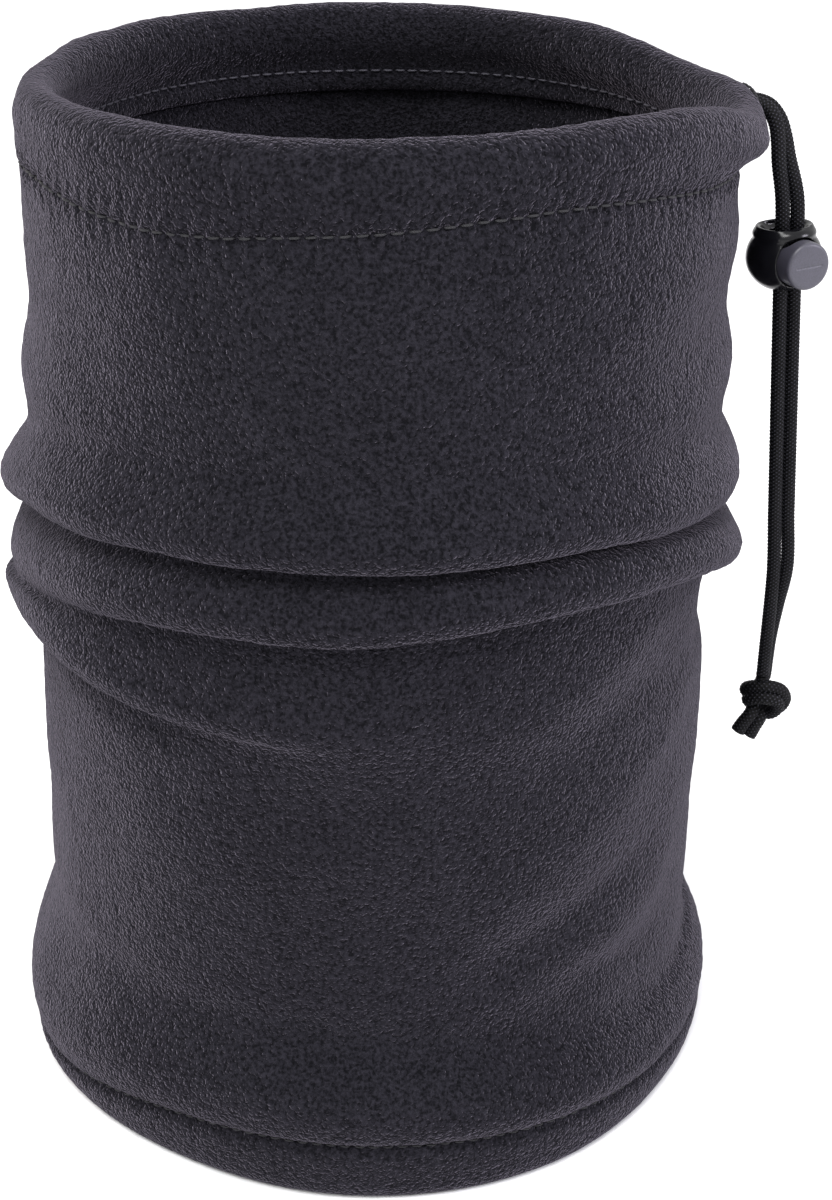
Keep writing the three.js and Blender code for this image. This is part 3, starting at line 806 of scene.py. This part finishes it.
def even_rows(controls, knots, first, last):
    """Rows between two control rows, evenly spaced in each direction."""
    count = round((knots[last] - knots[first]) / ROW_SPACING) + 1
    fine = hermite(controls, knots, np.linspace(knots[first], knots[last], 10 * count))
    steps = np.linalg.norm(np.diff(fine, axis=0), axis=2)
    run = np.concatenate([np.zeros((1, COLUMNS)), np.cumsum(steps, axis=0)])
    rows = np.empty((count, COLUMNS, 2))
    for column in range(COLUMNS):
        places = np.linspace(0, run[-1, column], count)
        for k in range(2):
            rows[:, column, k] = np.interp(places, run[:, column], fine[:, column, k])
    return rows


def in_space(rows):
    radius, z = rows[..., 0], rows[..., 1]
    return np.stack([radius * np.cos(angles), radius * np.sin(angles), z], axis=-1)


def grid_normals(grid):
    round_tube = np.roll(grid, -1, axis=1) - np.roll(grid, 1, axis=1)
    up_cloth = np.gradient(grid, axis=0)
    return unit(np.cross(round_tube, up_cloth))


def cloth_surface():
    """The outward face, the inward face, and the rows where the hem and the casing are stitched."""
    controls, hem_line, casing_line = cloth_profile()
    gaps = np.linalg.norm(np.diff(controls, axis=0), axis=2).mean(axis=1)
    knots = np.concatenate([[0], np.cumsum(gaps)])
    parts = [
        even_rows(controls, knots, 0, hem_line),
        even_rows(controls, knots, hem_line, casing_line),
        even_rows(controls, knots, casing_line, len(controls) - 1),
    ]
    hem_row = len(parts[0]) - 1
    casing_row = hem_row + len(parts[1]) - 1
    outer = in_space(np.concatenate([parts[0], parts[1][1:], parts[2][1:]]))
    normals = grid_normals(outer)

    row = np.arange(len(outer))[:, None]
    height = outer[..., 2]
    free = smooth(hem_row, hem_row + 16, row) * (1 - smooth(casing_row + 34, casing_row + 50, row))
    dents = 0.75 * noise(outer * [1, 1, 1.5], 34, 1) + 0.3 * noise(outer, 13, 2)
    nap = 0.1 * noise(outer, 2.4, 3) + 0.1 * noise(outer, 1.3, 4)
    arc = outer[..., :2]
    arc_length = np.linalg.norm(arc, axis=-1) * angles[None, :]
    puckers = np.cos(2 * np.pi * arc_length / STITCH_PITCH)
    near_casing = bell((row - casing_row) * ROW_SPACING, 2.6)
    near_hem = bell((row - hem_row) * ROW_SPACING, 2.2)
    gather = 0.35 * noise(outer * [1, 1, 0.25], 7, 5) * bell((row - casing_row) * ROW_SPACING, 9)
    seam_arc = np.radians(turned(degrees - SEAM_ANGLE))[None, :] * BODY_RADIUS
    on_outside = smooth(hem_row, hem_row + 4, row) * (1 - smooth(casing_row + 14, casing_row + 18, row))
    seam = -0.9 * bell(seam_arc, 0.7) + 0.35 * (bell(seam_arc - 2.2, 1.0) + bell(seam_arc + 2.2, 1.0))
    lift = (dents + drape_folds(height)) * free + nap + gather + seam * on_outside
    lift = lift + puckers * (0.3 * near_casing + 0.16 * near_hem)
    outer = outer + normals * (lift * smooth(0.3, 3, height))[..., None]

    normals = grid_normals(outer)
    ridge = 1.5 * smooth(SEAM_ALLOWANCE / 2 + 0.8, SEAM_ALLOWANCE / 2 - 0.6, np.abs(seam_arc))
    on_panel = smooth(hem_row, hem_row + 3, row) * (1 - smooth(casing_row - 5, casing_row, row))
    pressed = 0.8 * smooth(len(outer) - 7, len(outer) - 1, row)
    thickness = FLEECE - pressed + ridge * on_panel + 0.12 * noise(outer, 2.6, 6)
    inner = outer - normals * thickness[..., None]
    return outer, inner, hem_row, casing_row


def cloth_piece(name, outer, inner):
    """A closed layer of cloth between its two faces, with soft cut edges."""
    roundness = 0.35 * FLEECE
    first = (outer[0] + inner[0]) / 2 + roundness * unit(outer[0] - outer[1])
    last = (outer[-1] + inner[-1]) / 2 + roundness * unit(outer[-1] - outer[-2])
    rings = np.concatenate([outer, last[None], inner[::-1], first[None]])
    return ring_object(name, rings, closed=True)


# ---------- stitches ----------

def stitch(middle, along, out, length, thickness, sink=0.5):
    """Rings of one stitch: a short bowed run of thread whose ends dip into the cloth."""
    share = np.linspace(-1, 1, 7)
    reach = np.sqrt(np.maximum(1 - share**4, 0.02)) * thickness / 2
    run = along * (share * length / 2)[:, None]
    bow = out * (thickness * sink * (0.6 - share**2))[:, None]
    path = middle + run + bow
    return tube_rings(path, reach[:, None], 8, out)


def row_sampler(grid, normals, row):
    """Place and outward direction on a row of the cloth, at any angle in degrees."""
    def at(angle):
        place = (turned(angle) + 180) / 360 * COLUMNS
        low = int(place) % COLUMNS
        high = (low + 1) % COLUMNS
        share = place - int(place)
        point = grid[row, low] * (1 - share) + grid[row, high] * share
        return point, unit(normals[row, low] * (1 - share) + normals[row, high] * share)
    return at


def lockstitch_row(name, sampler, off=0.1, length=STITCH_LENGTH):
    start = sampler(0)[0]
    round_length = 2 * np.pi * float(np.linalg.norm(start[:2]))
    count = round(round_length / STITCH_PITCH)
    half_step = 0.45 * 360 * length / round_length
    parts = []
    for i in range(count):
        angle = 360 * i / count
        middle, out = sampler(angle)
        ahead, behind = sampler(angle + half_step)[0], sampler(angle - half_step)[0]
        middle = (2 * middle + ahead + behind) / 4
        parts.append(stitch(middle + out * off, unit(ahead - behind), out, length, THREAD))
    return many_rings_object(name, parts)


# ---------- cord lock ----------

lock_share = (SLIDE_TOP[2] - LOCK_MIDDLE_HEIGHT) / (SLIDE_TOP[2] - SLIDE_BOTTOM[2])
lock_origin = SLIDE_TOP + (SLIDE_BOTTOM - SLIDE_TOP) * lock_share
cord_clear = CORD / 2 + RUNNING_GAP
bore_radius = PLUNGER_DIAMETER / 2 + RUNNING_GAP
button_face = LOCK_DIAMETER / 2 - LOCK_BACK + PLUNGER_PROUD
plunger_back = -cord_clear - PLUNGER_BRIDGE
bore_end = plunger_back - PLUNGER_TRAVEL - RUNNING_GAP
back_radius = PLUNGER_DIAMETER / 2 - PLUNGER_TAPER


def in_lock(points):
    """From the lock's own frame, where x is the button's way, y across the two cords and z along
    them, to the row's frame."""
    points = np.asarray(points, float)
    x, y, z = points[..., :1], points[..., 1:2], points[..., 2:]
    return lock_origin + x * button_axis + y * pair_axis + z * slide_axis


def turned_rings(profile, axis, count=96):
    """Rings of a shape turned on a lathe about x or z. The profile is a list of (radius, along)."""
    turn = 2 * np.pi * np.arange(count) / count
    rings = []
    for radius, along in profile:
        a, b, c = radius * np.cos(turn), radius * np.sin(turn), np.full(count, along)
        rings.append(np.stack([c, a, b] if axis == "x" else [a, b, c], axis=1))
    return np.array(rings)


def slot_rings(low, high, bottom, top, spare=0.0, count=64):
    """A slot for the two cords along z, from x = low to high, with rounded corners."""
    turn = 2 * np.pi * np.arange(count) / count
    middle, half = (low + high) / 2, (high - low) / 2 + spare
    corner = min(half, cord_clear + spare)
    x = middle + (half - corner) * np.sign(np.round(np.cos(turn), 6)) + corner * np.cos(turn)
    y = CORD_PITCH / 2 * np.sign(np.round(np.sin(turn), 6)) + corner * np.sin(turn)
    return np.array([np.stack([x, y, np.full(count, z)], axis=1) for z in (bottom, top)])


def mouth_rings(height, radius, wire, count=96):
    """The lip round the lock's mouth, with one lobe for each cord."""
    turn = 2 * np.pi * np.arange(count) / count
    reach = radius * (1 + 0.1 * np.cos(2 * (turn - np.pi / 2)) - 0.05 * np.cos(4 * turn))
    loop = np.stack([reach * np.cos(turn), reach * np.sin(turn), np.full(count, height)], axis=1)
    outwards = unit(loop * [1, 1, 0])
    around_wire = 2 * np.pi * np.arange(12) / 12
    return np.array([
        [p + wire * (math.cos(a) * o + math.sin(a) * np.array([0, 0, 1])) for a in -around_wire]
        for p, o in zip(loop, outwards)
    ])


def lock_housing():
    half = LOCK_HEIGHT / 2
    bulge = [
        (LOCK_DIAMETER / 2 * math.cos(math.radians(d)), half * math.sin(math.radians(d)))
        for d in range(-84, 38, 6)
    ]
    mouth = LOCK_MOUTH / 2
    brim = [(mouth + 1.0, half - 2.0), (mouth + 0.6, half - 1.2), (mouth - 0.1, half - 0.55)]
    bowl = [(mouth - 0.75, half - 0.6), (mouth - 1.2, half - 1.3), (mouth - 2.2, half - 2.2)]
    ball = turned_rings([(0.05, -half), *bulge, *brim, *bowl, (0.05, half - 2.5)], "z")
    ball = in_lock(ball - [LOCK_BACK, 0, 0])
    lip = in_lock(mouth_rings(half - 0.6, mouth - 0.4, 0.32) - [LOCK_BACK, 0, 0])
    faces = ring_faces(*ball.shape[:2], False)
    faces += ring_faces(*lip.shape[:2], True, ball.shape[0] * ball.shape[1])
    points = np.concatenate([ball.reshape(-1, 3), lip.reshape(-1, 3)])
    body = mesh_object("cord_lock_housing", points, faces)
    soften(body, 0.3, 2)
    bore = in_lock(turned_rings([
        (0.05, bore_end), (back_radius + RUNNING_GAP, bore_end), (bore_radius, bore_end + PLUNGER_BRIDGE),
        (bore_radius, LOCK_DIAMETER),
    ], "x"))
    cut_away(body, ring_object("bore", bore))
    slot = slot_rings(-cord_clear - CORD_PASSAGE, cord_clear, -LOCK_HEIGHT, LOCK_HEIGHT, SLOT_SPARE)
    cut_away(body, ring_object("cord_slot", in_lock(slot)))
    soften(body, 0.17, 5)
    return body


def lock_button():
    radius = PLUNGER_DIAMETER / 2
    edge = 0.9
    rounding = [
        (radius - edge + edge * math.cos(a), button_face - edge + edge * math.sin(a))
        for a in np.linspace(0, math.pi / 2, 7)
    ]
    profile = [
        (0.05, plunger_back),
        (back_radius, plunger_back),
        (radius, plunger_back + PLUNGER_BRIDGE),
    ]
    profile += rounding + [(0.6 * radius, button_face + 0.05), (0.05, button_face + 0.1)]
    piece = ring_object("cord_lock_button", in_lock(turned_rings(profile, "x")))
    slot = slot_rings(-cord_clear, cord_clear + PLUNGER_TRAVEL + RUNNING_GAP, -LOCK_HEIGHT, LOCK_HEIGHT)
    cut_away(piece, ring_object("button_slot", in_lock(slot)))
    across = np.linspace(-3.1, 3.1, 24)
    line = np.stack([np.full_like(across, button_face + 0.22), across, np.zeros_like(across)], axis=1)
    engraved = tube_rings(in_lock(line), 0.34, 10, slide_axis)
    cut_away(piece, ring_object("engraved_line", engraved))
    soften(piece, 0.13, 4)
    return piece


def lock_spring():
    first = plunger_back - RUNNING_GAP - SPRING_WIRE / 2
    last = bore_end + RUNNING_GAP + SPRING_WIRE / 2
    wide = back_radius - SPRING_WIRE
    narrow = wide - SPRING_TURNS * 1.4 * SPRING_WIRE
    share = np.linspace(0, 1, 150)
    turn = 2 * np.pi * SPRING_TURNS * share
    radius = wide + (narrow - wide) * share
    along = first + (last - first) * share
    coil = np.stack([along, radius * np.cos(turn), radius * np.sin(turn)], axis=1)
    wire = tube_rings(in_lock(coil), SPRING_WIRE / 2, 14, button_axis)
    return ring_object("cord_lock_coil_spring", wire)


# ---------- knot ----------

# Middle of the two strands through an overhand knot, from the knot's middle: down the back, round
# the bottom to the right, up and over the front, round the left, and out below through the loop.
KNOT_ROUTE = [
    [-0.3, 0.1, 6.3], [-0.3, 0.6, 3.8], [-1.0, 1.5, 0.8], [-0.9, 1.9, -2.4], [0.7, 1.4, -4.7],
    [2.8, 0.0, -4.0], [3.9, -1.4, -1.2], [2.7, -2.5, 1.3], [-0.2, -2.8, 2.2], [-3.0, -1.3, 1.3],
    [-3.5, 1.0, -0.6], [-2.1, 1.6, -2.2], [-1.1, -0.1, -3.2], [-1.8, -1.3, -4.8],
    [-3.1, -1.5, -7.0], [-4.3, -1.7, -9.3],
]
KNOT_STRAND_GAP = 2.5


def tied_knot():
    path = smooth_path(KNOT_MIDDLE + np.array(KNOT_ROUTE), 0.18)
    entry = unit(np.array(REAR_DROP[-1]) - np.array(FRONT_DROP[-1]))
    sides, _ = side_directions(path, entry)
    along = np.linspace(0, 1, len(path))
    apart = KNOT_STRAND_GAP + 1.0 * (1 - smooth(0, 0.12, along)) + 0.7 * smooth(0.82, 1, along)
    squeeze = 1.0 + 0.07 * smooth(0.05, 0.15, along) + 0.05 * smooth(0.88, 1.0, along)
    strands, heights = [], []
    for side in (-1, 1):
        strand = path + sides * (side * apart / 2)[:, None]
        rings, height = braided_rings(strand, CORD, 48, squeeze)
        strands.append(rings)
        heights.append(height)
    return many_rings_object("tied_end_knot", strands, crown=heights)


# ---------- making everything ----------

add_camera()

front_end, front_path = cord_end("front_cord_end", "cord_tail_front", FRONT_EXIT, FRONT_DROP, -1)
rear_end, rear_path = cord_end("rear_cord_end", "cord_tail_rear", REAR_EXIT, REAR_DROP, 1)

outer, inner, hem_row, casing_row = cloth_surface()
normals = grid_normals(outer)


def fleece_pieces():
    hem = cloth_piece("fleece_bottom_hem", outer[: hem_row + 1], inner[: hem_row + 1])
    panel = cloth_piece("fleece_tube", outer[hem_row : casing_row + 1], inner[hem_row : casing_row + 1])
    casing = cloth_piece("fleece_drawcord_casing", outer[casing_row:], inner[casing_row:])
    return hem, panel, casing


def exit_frame():
    """The buttonhole's middle on the casing's face, and the ways out, across and up from it."""
    at = math.radians(EXIT_ANGLE)
    out = np.array([math.cos(at), math.sin(at), 0.0])
    across = np.array([-math.sin(at), math.cos(at), 0.0])
    radius = float(crest_radius(np.array([at]))[0]) + CASING_HALF
    middle = out * radius + np.array([0, 0, FRONT_EXIT[1][2]])
    return middle, out, across, np.array([0.0, 0.0, 1.0])


def on_casing(point):
    """The point moved in or out to the casing's outside face."""
    column = round((math.degrees(math.atan2(point[1], point[0])) + 180) / 360 * COLUMNS) % COLUMNS
    face = outer[casing_row:, column]
    face = face[: int(np.argmax(face[:, 2])) + 1]
    radius = np.interp(point[2], face[:, 2], np.linalg.norm(face[:, :2], axis=1))
    return np.array([*(point[:2] * radius / np.linalg.norm(point[:2])), point[2]])


def buttonhole_loop(grow, count):
    """Points round the buttonhole, which is a long round-ended hole, each with its way outwards."""
    middle, out, across, up = exit_frame()
    turn = 2 * np.pi * np.arange(count) / count
    wide, high = BUTTONHOLE_WIDTH / 2 + grow, BUTTONHOLE_HEIGHT / 2 + grow
    flat = wide - high
    side = flat * np.tanh(4 * np.cos(turn)) + high * np.cos(turn)
    rise = high * np.sin(turn)
    points = np.array([on_casing(p) for p in middle + side[:, None] * across + rise[:, None] * up])
    return points, unit(side[:, None] * across * 0.4 + rise[:, None] * up), out


def cut_buttonhole(casing):
    loop, _, out = buttonhole_loop(-0.3, 40)
    prism = np.array([loop + out * depth for depth in (-5.5, 3.0)])
    cut_away(casing, ring_object("buttonhole_cutter", prism))


def buttonhole_stitching():
    """Whipstitches over the edge of the buttonhole, side by side."""
    count = 34
    loop, outwards, out = buttonhole_loop(0.45, count)
    parts = []
    for point, away in zip(loop, outwards):
        bowed = np.array([
            point - away * 0.95 - out * 0.9, point - away * 0.7 - out * 0.1,
            point + out * 0.2, point + away * 0.7, point + away * 0.9 - out * 0.5,
        ])
        path = smooth_path(bowed, 0.35)
        parts.append(tube_rings(path, THREAD / 2, 8, out))
    return many_rings_object("buttonhole_whipstitches", parts)


def seam_stitches():
    """Overlock stitches over the seam's folded edge, inside the tube."""
    column = int(round((SEAM_ANGLE + 180) / 360 * COLUMNS))
    spread = 4
    rows = range(hem_row + 18, casing_row - 7, 3)
    parts = []
    for row in rows:
        left, right = inner[row, column - spread], inner[row + 2, column + spread]
        middle, inward = inner[row + 1, column], -normals[row + 1, column]
        lift = 0.25
        path = smooth_path(
            [left + inward * 0.05, (left + middle) / 2 + inward * lift, middle + inward * lift,
             (right + middle) / 2 + inward * lift, right + inward * 0.05], 0.5,
        )
        parts.append(tube_rings(path, THREAD / 2, 6, inward))
    return many_rings_object("seam_overlock_stitches", parts)


def tunnel_middle(at):
    crest, top = crest_radius(at), crest_height(at)
    z = top - CASING_HALF - CORD / 2 - 0.3
    return np.stack([(crest + 0.3) * np.cos(at), (crest + 0.3) * np.sin(at), z], axis=1)


def hidden_cord():
    """The rest of the cord, round the inside of the casing."""
    beside = (CORD_PITCH / 2 + CORD + LAYER_GAP) / RIM_RADIUS
    exit_at = math.radians(EXIT_ANGLE)
    at = np.linspace(exit_at + beside, exit_at + 2 * math.pi - beside, 90)
    path = smooth_path(tunnel_middle(at), 0.5)
    rings, height = braided_rings(path, CORD, 24, first_side=(0, 0, 1))
    return ring_object("drawcord_in_casing", rings, crown=height)


# ---------- lights and floor ----------

def add_light(name, place, aim, size, power, colour="#ffffff"):
    data = bpy.data.lights.new(name, "AREA")
    data.shape = "DISK"
    data.size = size
    data.energy = power
    data.color = linear(colour)[:3]
    light = bpy.data.objects.new(name, data)
    light.location = place
    light.rotation_euler = (Vector(aim) - Vector(place)).to_track_quat("-Z", "Y").to_euler()
    bpy.context.scene.collection.objects.link(light)


def add_studio():
    floor_half = 5000
    corners = [[-floor_half, -floor_half, 0], [floor_half, -floor_half, 0],
               [floor_half, floor_half, 0], [-floor_half, floor_half, 0]]
    floor = mesh_object("studio_floor", corners, [[0, 1, 2, 3]])
    floor.location.z = -0.05 * MM
    floor.data.materials.append(studio_paper())
    world = bpy.data.worlds.new("studio_air")
    world.use_nodes = True
    world.node_tree.nodes["Background"].inputs["Color"].default_value = linear("#ffffff")
    world.node_tree.nodes["Background"].inputs["Strength"].default_value = 1.08
    bpy.context.scene.world = world
    aim = (0, 0, 0.12)
    add_light("top_softbox", (-0.15, -0.75, 1.5), aim, 0.8, 19)
    add_light("right_softbox", (1.25, -0.35, 0.75), aim, 0.5, 9, "#f4f0ff")
    add_light("left_edge_light", (-1.1, 0.55, 0.7), aim, 0.5, 7, "#fff6f2")
    bpy.context.scene.view_settings.view_transform = "Standard"


# ---------- assembly ----------

hem, panel, casing = fleece_pieces()
cut_buttonhole(casing)
hand_over(hem, "gaiter", "fleece", fleece_finish, "bottom_hem")
hand_over(panel, "gaiter", "fleece", fleece_finish, "body_panel")
hand_over(casing, "gaiter", "fleece", fleece_finish, "drawcord_channel")

hem_outside = lockstitch_row("hem_needle_stitches", row_sampler(outer, normals, hem_row))
hem_inside = lockstitch_row("hem_bobbin_stitches", row_sampler(outer, normals, 3))
casing_outside = lockstitch_row("casing_needle_stitches", row_sampler(outer, normals, casing_row))
casing_inside = lockstitch_row("casing_bobbin_stitches", row_sampler(outer, normals, len(outer) - 6))
whip = buttonhole_stitching()
overlock = seam_stitches()
for piece, node in (
    (hem_outside, "hem_needle_thread"), (hem_inside, "hem_bobbin_thread"),
    (casing_outside, "channel_needle_thread"), (casing_inside, "channel_bobbin_thread"),
    (whip, "buttonhole_stitching"), (overlock, "seam_overlock_thread"),
):
    inside = piece in (hem_inside, casing_inside, overlock)
    hand_over(piece, "gaiter", "sewing_thread", looper_finish if inside else needle_finish, node)

hidden = hand_over(hidden_cord(), "gaiter", "braided_cord", cord_finish, "drawcord_loop")
knot = hand_over(tied_knot(), "gaiter", "braided_cord", cord_finish, "end_knot")
housing = hand_over(lock_housing(), "cord_lock", "lock_housing", housing_finish, "cord_lock_body")
button = hand_over(lock_button(), "plunger", "lock_button", button_finish, "cord_lock_plunger")
spring = hand_over(lock_spring(), "cord_lock", "spring_wire", spring_finish, "cord_lock_spring")
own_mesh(spring)

add_studio()
